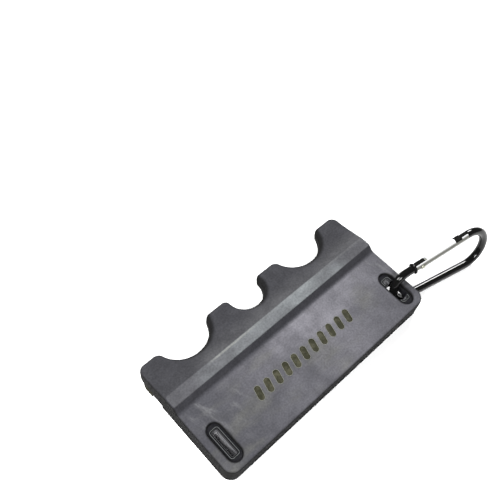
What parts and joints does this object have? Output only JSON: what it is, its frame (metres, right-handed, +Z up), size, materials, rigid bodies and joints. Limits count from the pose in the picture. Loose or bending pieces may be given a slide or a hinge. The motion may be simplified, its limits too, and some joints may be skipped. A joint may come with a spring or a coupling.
{
  "type": "portable cue holder",
  "caption": "Low weighted rubber block with round notches between blunt teeth that keep leaning cues apart, and a slot at each end, one with a spring-gate clip.",
  "frame": {"origin": "middle of the holder's footprint, on the face that it stands on", "axes": "+X along the row of notches towards the clip, +Y towards the tooth tips, +Z up"},
  "size_m": [0.1835, 0.0665, 0.0264],
  "materials": {
    "shell_rubber": "matt charcoal moulding",
    "black_rubber": "matt black non-slip",
    "liner_rubber": "satin black",
    "ballast_steel": "plain mild steel",
    "clip_black": "gloss black coating on aluminium",
    "clip_silver": "polished",
    "rivet_steel": "bright"
  },
  "bodies": {
    "holder": {"top_shell": "shell_rubber", "base_pad": "black_rubber", "tooth_feet": "black_rubber", "slot_liners": "liner_rubber", "ballast_plate": "ballast_steel"},
    "clip": {"clip_body": "clip_black"},
    "gate": {"clip_gate": "clip_silver", "gate_rivet": "rivet_steel", "gate_spring": "rivet_steel"},
    "plunger": {"gate_plunger": "rivet_steel"}
  },
  "joints": [
    {"name": "clip_swing", "type": "hinge", "parent": "holder", "child": "clip", "pos_m": [0.06594, -0.02029, 0.01057], "axis": [-0.2102, -0.9329, 0.2924], "range_deg": [-75, 82]},
    {"name": "gate_open", "type": "hinge", "parent": "clip", "child": "gate", "pos_m": [0.07397, -0.01917, 0.01993], "axis": [0.2102, 0.9329, -0.2924], "range_deg": [0, 28], "stiffness_Nm_per_rad": 0.03, "springref_deg": -57.3},
    {"name": "plunger_slide", "type": "slide", "parent": "gate", "child": "plunger", "axis": [0.9747, -0.1769, 0.1364], "range_m": [0, 0.001]}
  ],
  "couplings": [
    {"joint": "plunger_slide", "follows": "gate_open", "m_per_rad": 0.002}
  ]
}
